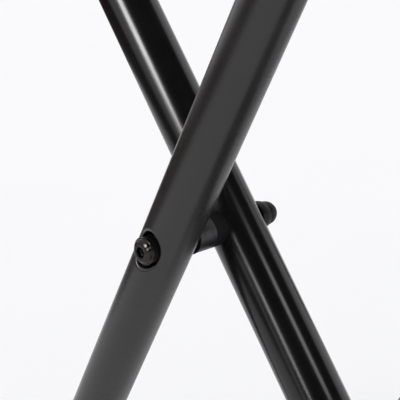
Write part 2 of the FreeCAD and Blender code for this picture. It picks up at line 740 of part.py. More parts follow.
def saddle(name, radius, y_low, y_high, bore, tube_y, radius_out, z):
    """Round pad along local Y with one face hollowed to fit a tube."""
    outer = cyl(name + "_round", radius, y_high - y_low, y=y_low, z=z, along="y")
    tube = doc.addObject("Part::Cylinder", name + "_tube_hollow")
    bind(tube, "Radius", radius_out + d.fit_gap)
    bind(tube, "Height", Q(200, "200"))
    place(tube, y=tube_y, z=Q(-100, "(0 - 100)"))
    hole = cyl(name + "_hole", bore, y_high - y_low + 2, y=y_low - 1, z=z, along="y")
    return cut(name + "_piece", outer, fuse(name + "_hollows", [tube, hole]))


collar = saddle("pivot_collar", d.barrel_radius, d.inner_y + 12.0, -barrel_step - d.fit_gap,
                d.barrel_neck, d.inner_y, d.inner_leg_radius, Q(0, "0"))
node(group("pivot_collars_set", [collar, mirrored(collar, "pivot_collar_front", (0, 1, 0))]),
     "pivot_collars", frame_inner)

spacers = [saddle("disc_spacer_" + tag, d.disc_spacer_radius, d.inner_y + 13.3, disc_back,
                  d.rivet_radius, d.inner_y, d.inner_leg_radius, z)
           for tag, z in (("near", d.rivet_near), ("far", -d.rivet_far))]
node(group("disc_spacers_set", spacers), "disc_spacers", frame_inner)

node(saddle("clamp_pad", d.clamp_pad_radius, d.disc_face + d.fit_gap, d.clamp_pad_edge,
            screw_hole, d.outer_y, d.tube_radius, d.stud_arm), "clamp_pad", frame_outer)
node(saddle("knob_washer", d.washer_radius, d.washer_edge, d.washer_face,
            screw_hole, d.outer_y, d.tube_radius, d.stud_arm), "knob_washer", frame_outer)

# The crush sleeve ends where its rim meets the leg's round surface.
ring_low = d.outer_y - d.crush_sleeve_half
node(cut("clamp_sleeve_piece",
         cyl("clamp_sleeve_round", d.sleeve_tube_radius, d.crush_sleeve_half * 2,
             y=ring_low, z=d.stud_arm, along="y"),
         cyl("clamp_sleeve_bore", screw_hole, d.crush_sleeve_half * 2 + 2,
             y=ring_low - 1, z=d.stud_arm, along="y")),
     "clamp_sleeve", frame_outer)

stud_b = body("clamp_stud_body")
s = sketch(stud_b, "clamp_stud_profile", "YZ_Plane")
polygon(s, [(disc_back - d.fit_gap - d.stud_head_thick, 0),
            (disc_back - d.fit_gap - d.stud_head_thick, d.stud_head_radius - 1.4),
            (disc_back - d.fit_gap - 1.0, d.stud_head_radius),
            (disc_back - d.fit_gap, d.stud_head_radius),
            (disc_back - d.fit_gap, d.screw_radius),
            (d.stud_end - 1, d.screw_radius), (d.stud_end, d.screw_radius - 1),
            (d.stud_end, 0)])
spin(stud_b, "clamp_stud_turned", s, "H_Axis")
place(stud_b, z=d.stud_arm)
node(group("clamp_stud_piece", [stud_b]), "clamp_stud", frame_outer)

# Star knob in its own axes: local Z along the stud, hub face at zero.
knob_x = d.stud_arm * SIN
knob_z = pivot_z + d.stud_arm * COS
kb = body("star_knob_body")
s = sketch(kb, "knob_grip_outline", "XY_Plane", level=d.knob_hub)
circle(s, 0, 0, d.knob_radius)
pad(kb, "knob_grip", s, d.knob_tall - d.knob_hub)
s = sketch(kb, "knob_hub_outline", "XY_Plane")
circle(s, 0, 0, d.knob_hub_radius)
pad(kb, "knob_hub_pad", s, d.knob_hub + 1)
s = sketch(kb, "knob_bore_outline", "XY_Plane")
circle(s, 0, 0, d.insert_radius)
pocket(kb, "knob_bore", s, d.knob_bore_depth, reverse=True)
s = sketch(kb, "knob_scallop_outline", "XY_Plane", level=d.knob_hub - 1)
circle(s, d.knob_scallop_arm, 0, d.knob_scallop)
scallop = pocket(kb, "knob_scallop_cut", s, d.knob_tall, reverse=True)
before = solid_volume(kb)
ring = kb.newObject("PartDesign::PolarPattern", "knob_scallops")
ring.Originals = [scallop]
ring.Axis = ([f for f in kb.Origin.OriginFeatures if f.Role == "Z_Axis"][0], [""])
ring.Angle = 360.0
ring.Occurrences = 6
kb.Tip = ring
if not solid_volume(kb) < before - 1:
    raise RuntimeError("knob scallops missing")
soften(kb, "knob_top_round", Q(3.0, "3.0"),
       lambda e: e.BoundBox.ZMin > d.knob_tall.v - 1e-4)


def frame_knob(o):
    place(o, x=knob_x, y=d.knob_face, z=knob_z, axis=(-1, 0, 0), angle=Q(90, "90"))


node(kb, "star_knob", frame_knob)

ib = body("knob_insert_body")
s = sketch(ib, "knob_insert_outline", "XY_Plane")
circle(s, 0, 0, d.insert_radius)
circle(s, 0, 0, d.screw_radius + d.run_clearance)
pad(ib, "knob_insert_pad", s, d.insert_long)
node(ib, "knob_insert", frame_knob)

# ----------------------------------------------------------------- export
doc.recompute()
for o in doc.Objects:
    if "Invalid" in o.State or "Error" in o.State:
        raise RuntimeError("failed object: %s %s" % (o.Name, o.State))
labels = [o.Label for o in NODES]
if len(set(labels)) != len(labels) or len(labels) > 60:
    raise RuntimeError("node names")
for o in NODES:
    sh = o.Shape
    if sh.isNull() or not sh.isValid() or not sh.Solids or sh.Volume <= 0:
        raise RuntimeError("bad shape: " + o.Label)
os.makedirs("parts", exist_ok=True)
for o in NODES:
    o.Shape.exportStep("parts/%s.step" % o.Label)
total = App.BoundBox()
for o in NODES:
    total.add(o.Shape.BoundBox)
    bb = o.Shape.BoundBox
    print("%-28s solids %d  vol %10.1f  box %8.2f %8.2f %8.2f / %8.2f %8.2f %8.2f" % (
        o.Label, len(o.Shape.Solids), o.Shape.Volume,
        bb.XMin, bb.YMin, bb.ZMin, bb.XMax, bb.YMax, bb.ZMax))
print("nodes", len(NODES), "box", total)
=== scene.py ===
import json
import math

import bmesh
import bpy
import numpy as np
from mathutils import Matrix, Vector


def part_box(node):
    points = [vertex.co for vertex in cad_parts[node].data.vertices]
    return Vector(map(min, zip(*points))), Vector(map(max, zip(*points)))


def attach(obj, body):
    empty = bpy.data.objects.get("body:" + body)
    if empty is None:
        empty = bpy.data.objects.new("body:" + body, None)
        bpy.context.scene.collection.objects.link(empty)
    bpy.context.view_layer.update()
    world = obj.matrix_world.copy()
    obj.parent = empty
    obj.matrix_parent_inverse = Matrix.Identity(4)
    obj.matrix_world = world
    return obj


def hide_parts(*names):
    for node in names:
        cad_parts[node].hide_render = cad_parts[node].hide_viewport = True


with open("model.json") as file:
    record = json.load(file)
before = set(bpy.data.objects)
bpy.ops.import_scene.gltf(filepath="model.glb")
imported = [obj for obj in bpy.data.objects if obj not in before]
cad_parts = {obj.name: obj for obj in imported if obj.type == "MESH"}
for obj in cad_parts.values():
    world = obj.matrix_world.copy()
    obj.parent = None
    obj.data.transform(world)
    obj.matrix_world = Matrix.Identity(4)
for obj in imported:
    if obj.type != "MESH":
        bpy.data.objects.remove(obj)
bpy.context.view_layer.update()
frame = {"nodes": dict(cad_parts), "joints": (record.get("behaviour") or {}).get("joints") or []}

MM = 0.001
scene = bpy.context.scene

# ---------------------------------------------------------------- places
pivot = Vector(next(j for j in frame["joints"] if j["name"] == "fold")["pos_m"])
knob_at = Vector(next(j for j in frame["joints"] if j["name"] == "knob_turn")["pos_m"])
LEAN = math.radians(32.5)
OUTER = Matrix.Translation(pivot) @ Matrix.Rotation(LEAN, 4, "Y")
INNER = Matrix.Translation(pivot) @ Matrix.Rotation(-LEAN, 4, "Y")


def box_mm(node):
    lo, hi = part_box(node)
    return lo / MM, hi / MM


lo, hi = box_mm("outer_leg_front")
TUBE_R = round((hi.y - lo.y) / 2, 2)
OUTER_Y = -round((hi.y + lo.y) / 2, 2)
lo, hi = box_mm("inner_leg_front")
INNER_Y = -round((hi.y + lo.y) / 2, 2)
INNER_R = round((hi.y - lo.y) / 2, 2)
WALL = 1.5
REACH = 480.0
HEAD_TOP, SEAT, SUNK = 17.2, 14.2, 9.5
OVAL = (7.2, 10.9)
lo, hi = box_mm("outer_foot_bar")
FOOT_HALF = hi.y
lo, hi = box_mm("outer_top_arm")
ARM_HALF = hi.y


# ------------------------------------------------------------- mesh tools
class Build:
    """Vertices, faces and, where known, exact normals of one mesh, in mm."""

    def __init__(self):
        self.v, self.f, self.n = [], [], {}

    def add(self, p, normal=None):
        self.v.append(tuple(p))
        if normal is not None:
            self.n[len(self.v) - 1] = Vector(normal).normalized()
        return len(self.v) - 1

    def quad_rows(self, rows, closed=True, flip=False):
        for a, b in zip(rows[:-1], rows[1:]):
            m = len(a)
            for i in range(m if closed else m - 1):
                j = (i + 1) % m
                q = (a[i], a[j], b[j], b[i])
                q = tuple(dict.fromkeys(q))
                if len(q) > 2:
                    self.f.append(tuple(reversed(q)) if flip else q)

    def object(self, name, matrix, sharp=32.0):
        mesh = bpy.data.meshes.new(name)
        mesh.from_pydata([tuple(Vector(p) * MM) for p in self.v], [], self.f)
        mesh.validate(clean_customdata=False)
        bm = bmesh.new()
        bm.from_mesh(mesh)
        bmesh.ops.remove_doubles(bm, verts=bm.verts, dist=1e-7)
        keep = len(bm.verts) == len(self.v)
        bmesh.ops.recalc_face_normals(bm, faces=bm.faces)
        limit = math.radians(sharp)
        for e in bm.edges:
            if len(e.link_faces) == 2 and e.calc_face_angle(0.0) > limit:
                e.smooth = False
        for f in bm.faces:
            f.smooth = True
        bm.to_mesh(mesh)
        bm.free()
        if self.n and keep:
            normals = [Vector(v.normal) for v in mesh.vertices]
            for i, n in self.n.items():
                normals[i] = n
            mesh.normals_split_custom_set_from_vertices([tuple(n) for n in normals])
        obj = bpy.data.objects.new(name, mesh)
        scene.collection.objects.link(obj)
        mesh.transform(matrix)
        return obj


def rounded(points, radii, steps=6):
    """A 2-D outline with each corner turned into an arc of its radius."""
    out = []
    n = len(points)
    for i, p in enumerate(points):
        r = radii[i] if isinstance(radii, (list, tuple)) else radii
        if r <= 0 or i in (0, n - 1):
            out.append(p)
            continue
        a = Vector(points[i - 1]) - Vector(p)
        b = Vector(points[i + 1]) - Vector(p)
        if a.length < 1e-9 or b.length < 1e-9:
            continue
        half = a.angle(b) / 2
        if half > math.radians(89):
            out.append(p)
            continue
        cut = min(r / math.tan(half), a.length * 0.49, b.length * 0.49)
        real = cut * math.tan(half)
        s, e = Vector(p) + a.normalized() * cut, Vector(p) + b.normalized() * cut
        centre = Vector(p) + (a.normalized() + b.normalized()).normalized() * (real / math.sin(half))
        v0, v1 = s - centre, e - centre
        total = v0.angle(v1)
        turn = 1 if v0.x * v1.y - v0.y * v1.x > 0 else -1
        for k in range(steps + 1):
            t = turn * total * k / steps
            out.append((centre.x + v0.x * math.cos(t) - v0.y * math.sin(t),
                        centre.y + v0.x * math.sin(t) + v0.y * math.cos(t)))
    return out


def lathe_into(b, profile, segments, place, wave=None):
    """Turn (radius, height) points about local Z; place maps local mm to mm.
    wave(k, angle, radius, height) may change a point."""
    rows = []
    for k, (r, h) in enumerate(profile):
        if r <= 1e-6:
            rows.append([b.add(place @ Vector((0, 0, h)))] * segments)
            continue
        row = []
        for i in range(segments):
            a = 2 * math.pi * i / segments
            rr, hh = (r, h) if wave is None else wave(k, a, r, h)
            row.append(b.add(place @ Vector((rr * math.cos(a), rr * math.sin(a), hh))))
        rows.append(row)
    b.quad_rows(rows)


def along_y(y=0.0, x=0.0, z=0.0, sign=1.0):
    """Local Z to +Y (sign 1) or -Y (sign -1), in mm."""
    turn = Matrix.Rotation(math.radians(-90 if sign > 0 else 90), 4, "X")
    return Matrix.Translation(Vector((x, y, z))) @ turn


def along_z(x=0.0, y=0.0, z=0.0, sign=1.0):
    turn = Matrix.Identity(4) if sign > 0 else Matrix.Rotation(math.pi, 4, "X")
    return Matrix.Translation(Vector((x, y, z))) @ turn


def hexagon(angle, across):
    """Distance from the centre to a hexagon's side at an angle."""
    a = (angle + math.radians(30)) % math.radians(60) - math.radians(30)
    return across / 2 / math.cos(a)


def finish_piece(obj, body, slot, material, *nodes):
    obj.data.materials.clear()
    obj.data.materials.append(material)
    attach(obj, body)
    if nodes:
        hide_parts(*nodes)
    return obj


# ------------------------------------------------------------------ tubes
ROLL = 2.0


def round_tube(name, matrix, half, features, r_out=TUBE_R, wall=WALL, around=96):
    """A hollow tube along local Z.  features: (kind, side, z, size); side
    -1 or +1 is the wall towards local -Y or +Y.  kind "lip" is an oval hole,
    size its half width across and along, whose edge is rolled inwards into a
    collar; "plain" is a drilled hole, size its radius."""
    b = Build()
    r_in = r_out - wall
    step = 2 * math.pi / around

    def size(feature):
        return feature[3] if isinstance(feature[3], tuple) else (feature[3], feature[3])

    def zone(feature):
        wide, long = size(feature)
        more = ROLL if feature[0] == "lip" else 0.35
        cols = int(math.ceil((math.asin(min(0.985, (wide + more) / r_in))
                              + math.radians(9)) / step))
        cols = min(cols, around // 4 - 1)
        rise = long + more + (5.0 if feature[0] == "lip" else 3.5)
        return cols, rise

    lines = {round(-half, 4), round(half, 4)}
    coarse = 12.0
    count = int(math.ceil(2 * half / coarse))
    blocks = []
    for f in features:
        cols, rise = zone(f)
        blocks.append((f[2] - rise, f[2] + rise))
    for k in range(count + 1):
        z = -half + 2 * half * k / count
        if all(not (lo - 3 < z < hi + 3) for lo, hi in blocks) or k in (0, count):
            lines.add(round(z, 4))
    for lo, hi in blocks:
        m = int(math.ceil((hi - lo) / 1.2))
        for k in range(m + 1):
            lines.add(round(lo + (hi - lo) * k / m, 4))
    zs = sorted(lines)

    def direction(i):
        a = i * step
        return math.sin(a), -math.cos(a)      # i = 0 faces -Y

    def skin(radius, sign):
        grid = {}
        for k, z in enumerate(zs):
            for i in range(around):
                x, y = direction(i)
                grid[k, i] = (x * radius, y * radius, z)
        dead, rims = set(), []
        for f in features:
            side, zc = f[1], f[2]
            cols, rise = zone(f)
            mid = 0 if side < 0 else around // 2
            k0 = zs.index(round(zc - rise, 4))
            k1 = zs.index(round(zc + rise, 4))
            ring = [(k0, mid + i) for i in range(-cols, cols)]
            ring += [(k, mid + cols) for k in range(k0, k1)]
            ring += [(k1, mid + i) for i in range(cols, -cols, -1)]
            ring += [(k, mid - cols) for k in range(k1, k0, -1)]
            for k in range(k0, k1):
                for i in range(-cols, cols):
                    dead.add((k, (mid + i) % around))
            rims.append((f, mid, ring, (k0, k1, cols)))
        used = {}

        def vertex(k, i):
            i %= around
            if (k, i) not in used:
                x, y = direction(i)
                used[k, i] = b.add(grid[k, i], (x * sign, y * sign, 0))
            return used[k, i]

        for k in range(len(zs) - 1):
            for i in range(around):
                if (k, i) in dead:
                    continue
                b.f.append((vertex(k, i), vertex(k, i + 1), vertex(k + 1, i + 1), vertex(k + 1, i)))
        out = []
        for f, mid, ring, _ in rims:
            kind, side, zc = f[:3]
            more = ((ROLL if sign > 0 else 1.2) if kind == "lip"
                    else (0.35 if sign > 0 else 0.0))
            wide, long = (v + more for v in size(f))
            outer = [vertex(k, i) for k, i in ring]
            polar = []
            for (k, i) in ring:
                th = (i - mid) * step
                u = th * radius
                phi = math.atan2((zs[k] - zc) / long, u / wide)
                polar.append((th, zs[k] - zc, phi))
            rows = [outer]
            layers = 7 if kind == "lip" else 4
            for s in range(1, layers + 1):
                t = s / layers
                t = t * (2 - t) * 0.5 + t * 0.5
                row = []
                for th, dz, phi in polar:
                    th1 = math.asin(wide * math.cos(phi) / radius)
                    dz1 = long * math.sin(phi)
                    a, z = th + (th1 - th) * t, dz + (dz1 - dz) * t
                    if side < 0:
                        x, y = math.sin(a), -math.cos(a)
                    else:
                        x, y = -math.sin(a), math.cos(a)
                    row.append(b.add((x * radius, y * radius, zc + z), (x * sign, y * sign, 0)))
                rows.append(row)
            b.quad_rows(rows)
            out.append((rows[-1], [p[2] for p in polar]))
        return used, out

    outer_used, outer_rims = skin(r_out, 1.0)
    inner_used, inner_rims = skin(r_in, -1.0)
    for f, (ro, phis), (ri, _) in zip(features, outer_rims, inner_rims):
        kind, side, zc = f[:3]
        wide, long = size(f)
        lip = kind == "lip"
        roll, floor_at = (ROLL, 8.6) if lip else (0.35, None)
        profile = [("roll", k / 10) for k in range(1, 11)] + [("wall", k / 4) for k in range(1, 5)]
        if not lip:
            profile = [("roll", 0.5), ("roll", 1.0)]
        rows = [ro]
        for tag, t in profile:
            row = []
            for phi in phis:
                c, s_ = math.cos(phi), math.sin(phi)
                xo, zo = (wide + roll) * c, (long + roll) * s_
                xi, zi = wide * c, long * s_
                yo_ = -math.sqrt(r_out ** 2 - xo ** 2)
                yi_ = -math.sqrt(r_out ** 2 - xi ** 2) + roll * (0.8 if lip else 1.05)
                if tag == "roll":
                    p0, p3 = Vector((xo, yo_, zo)), Vector((xi, yi_, zi))
                    inward = Vector((xi - xo, 0, zi - zo))
                    inward.y = inward.x * xo / -yo_
                    inward.normalize()
                    p1 = p0 + inward * roll * 0.55
                    p2 = p3 - Vector((0, 1, 0)) * roll * 0.5
                    q = (p0 * (1 - t) ** 3 + p1 * 3 * t * (1 - t) ** 2
                         + p2 * 3 * t * t * (1 - t) + p3 * t ** 3)
                else:
                    q = Vector((xi, yi_ + (-floor_at - yi_) * t, zi))
                x, y = (q.x, q.y) if side < 0 else (-q.x, -q.y)
                row.append(b.add((x, y, zc + q.z)))
            rows.append(row)
        if lip:
            for more in (0.25, 1.1):
                row = []
                for phi in phis:
                    x, z = (wide + more) * math.cos(phi), (long + more) * math.sin(phi)
                    yy = -floor_at + 0.35
                    if side > 0:
                        x, yy = -x, -yy
                    row.append(b.add((x, yy, zc + z)))
                rows.append(row)
        rows.append(ri)
        b.quad_rows(rows)
    last = len(zs) - 1
    for k, keep in ((0, False), (last, True)):
        a = [outer_used[k, i] for i in range(around)]
        c = [inner_used[k, i] for i in range(around)]
        b.quad_rows([a, c], flip=keep)
    return b.object(name, matrix, sharp=38.0)


def leg_matrix(frame_matrix, y):
    return frame_matrix @ Matrix.Translation(Vector((0, y, 0)) * MM)


def bar_matrix(frame_matrix, z, up):
    """Bar along local Y: tube-local Z to +Y, tube-local -Y away from the leg."""
    turn = Matrix.Rotation(math.radians(-90 if up else 90), 4, "X")
    return frame_matrix @ Matrix.Translation(Vector((0, 0, z)) * MM) @ turn


# -------------------------------------------------------------- materials
def node_material(name):
    m = bpy.data.materials.new(name)
    m.use_nodes = True
    nt = m.node_tree
    return m, nt, nt.nodes["Principled BSDF"]


def coords(nt, scale=(1, 1, 1)):
    tc = nt.nodes.new("ShaderNodeTexCoord")
    mp = nt.nodes.new("ShaderNodeMapping")
    mp.inputs["Scale"].default_value = scale
    nt.links.new(tc.outputs["Object"], mp.inputs["Vector"])
    return mp.outputs["Vector"]


def noise(nt, vector, scale, detail=3.0, rough=0.5):
    n = nt.nodes.new("ShaderNodeTexNoise")
    n.inputs["Scale"].default_value = scale
    n.inputs["Detail"].default_value = detail
    n.inputs["Roughness"].default_value = rough
    nt.links.new(vector, n.inputs["Vector"])
    return n.outputs["Fac"]


def ramp(nt, fac, stops):
    r = nt.nodes.new("ShaderNodeValToRGB")
    els = r.color_ramp.elements
    while len(els) < len(stops):
        els.new(0.5)
    for e, (pos, col) in zip(els, stops):
        e.position = pos
        e.color = (*col, 1.0) if len(col) == 3 else col
    nt.links.new(fac, r.inputs["Fac"])
    return r.outputs["Color"]


def spread(nt, fac, low, high, lo_in=0.3, hi_in=0.7):
    r = nt.nodes.new("ShaderNodeMapRange")
    r.inputs["From Min"].default_value = lo_in
    r.inputs["From Max"].default_value = hi_in
    r.inputs["To Min"].default_value = low
    r.inputs["To Max"].default_value = high
    nt.links.new(fac, r.inputs["Value"])
    return r.outputs["Result"]


def bump(nt, height, distance, strength=1.0, base=None):
    b = nt.nodes.new("ShaderNodeBump")
    b.inputs["Distance"].default_value = distance
    b.inputs["Strength"].default_value = strength
    nt.links.new(height, b.inputs["Height"])
    if base is not None:
        nt.links.new(base, b.inputs["Normal"])
    return b.outputs["Normal"]


def powder_coat(name, dark, light, rough, specular, peel=1.0):
    """Baked powder coat: fine orange peel, faint cloudiness, few specks."""
    m, nt, p = node_material(name)
    v = coords(nt)
    cloud = noise(nt, v, 38.0, 4.0, 0.6)
    grain = noise(nt, v, 1400.0, 2.0, 0.5)
    mix = nt.nodes.new("ShaderNodeMath")
    mix.operation = "MULTIPLY_ADD"
    nt.links.new(grain, mix.inputs[0])
    mix.inputs[1].default_value = 0.45
    add = nt.nodes.new("ShaderNodeMath")
    add.operation = "MULTIPLY"
    nt.links.new(cloud, add.inputs[0])
    add.inputs[1].default_value = 0.55
    nt.links.new(add.outputs[0], mix.inputs[2])
    nt.links.new(ramp(nt, mix.outputs[0], [(0.3, dark), (0.7, light)]), p.inputs["Base Color"])
    nt.links.new(spread(nt, cloud, rough - 0.02, rough + 0.03), p.inputs["Roughness"])
    p.inputs["Specular IOR Level"].default_value = specular
    fine = bump(nt, grain, 0.000012 * peel, 0.5)
    wide = bump(nt, noise(nt, v, 420.0, 2.0, 0.4), 0.00002 * peel, 0.35, fine)
    nt.links.new(wide, p.inputs["Normal"])
    return m


def blackened(name, dark, light, rough, metallic=1.0):
    """Black-oxide steel: soft mottling and faint turning marks."""
    m, nt, p = node_material(name)
    v = coords(nt)
    mottle = noise(nt, v, 260.0, 5.0, 0.6)
    nt.links.new(ramp(nt, mottle, [(0.3, dark), (0.7, light)]), p.inputs["Base Color"])
    p.inputs["Metallic"].default_value = metallic
    nt.links.new(spread(nt, noise(nt, v, 900.0, 3.0), rough - 0.05, rough + 0.07),
                 p.inputs["Roughness"])
    nt.links.new(bump(nt, noise(nt, v, 2200.0, 2.0), 0.000008, 0.5), p.inputs["Normal"])
    return m


def moulded(name, dark, light, rough, grain_scale=1800.0, depth=0.00002, specular=0.4):
    """Moulded plastic or rubber: spark-eroded grain and slight bloom."""
    m, nt, p = node_material(name)
    v = coords(nt)
    bloom = noise(nt, v, 55.0, 4.0, 0.55)
    nt.links.new(ramp(nt, bloom, [(0.3, dark), (0.75, light)]), p.inputs["Base Color"])
    nt.links.new(spread(nt, bloom, rough - 0.04, rough + 0.06), p.inputs["Roughness"])
    p.inputs["Specular IOR Level"].default_value = specular
    vor = nt.nodes.new("ShaderNodeTexVoronoi")
    vor.inputs["Scale"].default_value = grain_scale
    nt.links.new(v, vor.inputs["Vector"])
    nt.links.new(bump(nt, vor.outputs["Distance"], depth, 0.6), p.inputs["Normal"])
    return m


COAT = powder_coat("coat_outer", (0.0125, 0.0110, 0.0110), (0.0170, 0.0150, 0.0150), 0.27, 0.5)
# the inner frame's coat is the outer powder coat with its colour painted about four times darker: painted
# shade on the inner tubes, with a lower roughness and peel as well
COAT_REAR_SHADED = powder_coat("coat_inner_shaded", (0.0030, 0.0030, 0.0033), (0.0048, 0.0048, 0.0052), 0.20, 0.45, 0.6)
OXIDE = blackened("oxide_steel", (0.026, 0.024, 0.023), (0.044, 0.040, 0.038), 0.17)
OXIDE_DULL = blackened("oxide_dull", (0.020, 0.020, 0.021), (0.035, 0.034, 0.035), 0.5)
ZINC = blackened("zinc_dull", (0.055, 0.055, 0.058), (0.085, 0.085, 0.088), 0.42)
NYLON = moulded("nylon_black", (0.004, 0.004, 0.0044), (0.007, 0.007, 0.0075), 0.6, specular=0.12)
RUBBER = moulded("rubber_black", (0.012, 0.012, 0.0125), (0.020, 0.020, 0.0205), 0.66, 1500.0, 0.00003, 0.3)
KNOB = moulded("knob_black", (0.011, 0.011, 0.0115), (0.017, 0.017, 0.0175), 0.48, 1300.0, 0.00003)
BRASS = blackened("brass_turned", (0.55, 0.38, 0.15), (0.68, 0.50, 0.22), 0.3)

# ----------------------------------------------------------------- tubes
finish_piece(round_tube("leg_outer_front", leg_matrix(OUTER, -OUTER_Y), 462.0,
                        [("lip", -1, 0.0, OVAL), ("plain", 1, 0.0, 4.15)]),
             "outer_frame", "powder_coat", COAT, "outer_leg_front")
finish_piece(round_tube("leg_outer_rear", leg_matrix(OUTER, OUTER_Y), 462.0,
                        [("lip", 1, 0.0, OVAL), ("plain", -1, 0.0, 4.15),
                         ("plain", -1, 44.0, 6.05), ("plain", 1, 44.0, 6.05)]),
             "outer_frame", "powder_coat", COAT, "outer_leg_rear")
# the inner legs take the darker coat, whose colour is painted shade
finish_piece(round_tube("leg_inner_front", leg_matrix(INNER, -INNER_Y), 462.0,
                        [("plain", -1, 0.0, 7.55), ("plain", 1, 0.0, 4.15)], INNER_R),
             "inner_frame", "powder_coat_rear", COAT_REAR_SHADED, "inner_leg_front")
finish_piece(round_tube("leg_inner_rear", leg_matrix(INNER, INNER_Y), 462.0,
                        [("plain", -1, 0.0, 4.15), ("plain", 1, 0.0, 7.55),
                         ("plain", 1, 24.0, 2.5), ("plain", 1, -44.0, 2.5)], INNER_R),
             "inner_frame", "powder_coat_rear", COAT_REAR_SHADED, "inner_leg_rear")
# the inner frame's bars also take the darker coat with painted shade
for tag, frame_m, body, slot_name, mat, y in (
        ("outer", OUTER, "outer_frame", "powder_coat", COAT, OUTER_Y),
        ("inner", INNER, "inner_frame", "powder_coat_rear", COAT_REAR_SHADED, INNER_Y)):
    holes = [("lip", -1, -y, OVAL), ("lip", -1, y, OVAL),
             ("plain", 1, -y, 4.15), ("plain", 1, y, 4.15)]
    finish_piece(round_tube("bar_%s_foot" % tag, bar_matrix(frame_m, -REACH, False),
                            FOOT_HALF, holes), body, slot_name, mat, "%s_foot_bar" % tag)
    finish_piece(round_tube("bar_%s_top" % tag, bar_matrix(frame_m, REACH, True),
                            ARM_HALF, holes), body, slot_name, mat, "%s_top_arm" % tag)


# ----------------------------------------------------- screws and bushes
def head_into(b, place, end, segments=72):
    """Button head screw with a flange and hexagon socket; heights from the
    tube's axis outwards, shank down to end."""
    top = HEAD_TOP
    loops = [("c", 0.0, top - 2.55), ("x", 4.6, top - 2.3), ("x", 5.0, top - 2.15),
             ("x", 5.0, top - 0.2), ("x", 5.12, top - 0.06), ("x", 5.35, top)]
    skin = rounded([(3.35, top), (4.7, top - 0.02), (6.1, top - 1.05), (6.4, SEAT + 1.0),
                    (7.1, SEAT + 0.98), (7.1, SEAT), (4.0, SEAT)],
                   [0, 0.9, 0.9, 0.3, 0.35, 0.2, 0], 6)
    rows = []
    for kind, size, h in loops:
        if size == 0:
            rows.append([b.add(place @ Vector((0, 0, h)))] * segments)
            continue
        row = []
        for i in range(segments):
            a = 2 * math.pi * i / segments
            r = hexagon(a, size)
            row.append(b.add(place @ Vector((r * math.cos(a), r * math.sin(a), h))))
        rows.append(row)
    for r, h in skin + [(4.0, end + 0.6), (3.4, end), (0.0, end)]:
        if r == 0:
            rows.append([b.add(place @ Vector((0, 0, h)))] * segments)
            continue
        rows.append([b.add(place @ Vector((r * math.cos(2 * math.pi * i / segments),
                                           r * math.sin(2 * math.pi * i / segments), h)))
                     for i in range(segments)])
    b.quad_rows(rows)


def seat_into(b, place, segments=72):
    outline = rounded([(4.2, SEAT - 0.02), (6.7, SEAT - 0.02), (6.7, SUNK), (7.0, SUNK),
                       (7.0, -6.9), (6.0, -6.9), (6.0, -10.9), (4.2, -10.9)],
                      [0, 0.4, 0.5, 0.4, 0.4, 0.2, 0.3, 0], 4)
    lathe_into(b, outline + [outline[0]], segments, place)


def disc_into(b, place, outline, segments=72):
    """Closed ring: the outline's last point joins its first."""
    lathe_into(b, outline + [outline[0]], segments, place)


b = Build()
for side in (-1, 1):
    head_into(b, along_y(side * OUTER_Y, sign=side), -74.95)
finish_piece(b.object("screw_pivot", OUTER), "outer_frame", "black_oxide", OXIDE, "pivot_screws")
b = Build()
for side in (-1, 1):
    seat_into(b, along_y(side * OUTER_Y, sign=side))
finish_piece(b.object("seat_pivot", OUTER), "outer_frame", "nylon", NYLON, "pivot_seat_bushes")

# heights below run outwards from the middle of the stand
CROWN_BACK = INNER_Y - INNER_R                # inner leg's crown facing inboard
CROWN_OUT = OUTER_Y - TUBE_R                  # outer leg's crown facing the inner leg
BARREL_OUT, BARREL_STEP, BARREL_IN = CROWN_OUT - 1.5, CROWN_OUT - 13.3, INNER_Y - 11.0
b = Build()
for side in (-1, 1):
    disc_into(b, along_y(0, sign=side),
              rounded([(4.2, BARREL_OUT + 0.05), (9.1, BARREL_OUT + 0.05),
                       (9.1, BARREL_OUT + 0.55), (6.5, BARREL_OUT + 0.55),
                       (6.5, CROWN_OUT - 0.05), (4.2, CROWN_OUT - 0.05)],
                      [0, 0.15, 0.15, 0.3, 0.2, 0], 3))
finish_piece(b.object("washer_thrust", OUTER), "outer_frame", "nylon", NYLON, "thrust_washers")
for side, tag in ((-1, "front"), (1, "rear")):
    b = Build()
    disc_into(b, along_y(0, sign=side),
              rounded([(6.0, BARREL_IN), (7.5, BARREL_IN), (7.5, BARREL_STEP), (8.9, BARREL_STEP),
                       (8.9, BARREL_OUT), (6.0, BARREL_OUT)], [0, 0.3, 0.1, 0.25, 0.3, 0], 4), 96)
    finish_piece(b.object("barrel_" + tag, INNER), "inner_frame", "zinc_steel", ZINC,
                 "pivot_barrel_" + tag)
b = Build()
for side in (-1, 1):
    disc_into(b, along_y(0, sign=side),
              [(4.05, BARREL_IN + 0.05), (5.98, BARREL_IN + 0.05), (5.98, BARREL_OUT - 0.05),
               (4.05, BARREL_OUT - 0.05)], 48)
finish_piece(b.object("bush_pivot", INNER), "inner_frame", "nylon", NYLON, "pivot_bushes")

# the collar's inboard end is hollowed to sit on the inner leg
COLLAR = rounded([(7.52, INNER_Y), (8.88, INNER_Y), (8.88, BARREL_STEP - 0.05),
                  (7.52, BARREL_STEP - 0.05)], [0, 0.0, 0.25, 0], 4)


def hollow(k, angle, radius, height):
    if k in (0, 1, len(COLLAR)):
        return radius, INNER_Y + math.sqrt((INNER_R + 0.05) ** 2 - (radius * math.cos(angle)) ** 2)
    return radius, height


b = Build()
for side in (-1, 1):
    lathe_into(b, COLLAR + [COLLAR[0]], 96, along_y(0, sign=side), hollow)
finish_piece(b.object("collar_pivot", INNER), "inner_frame", "nylon", NYLON, "pivot_collars")

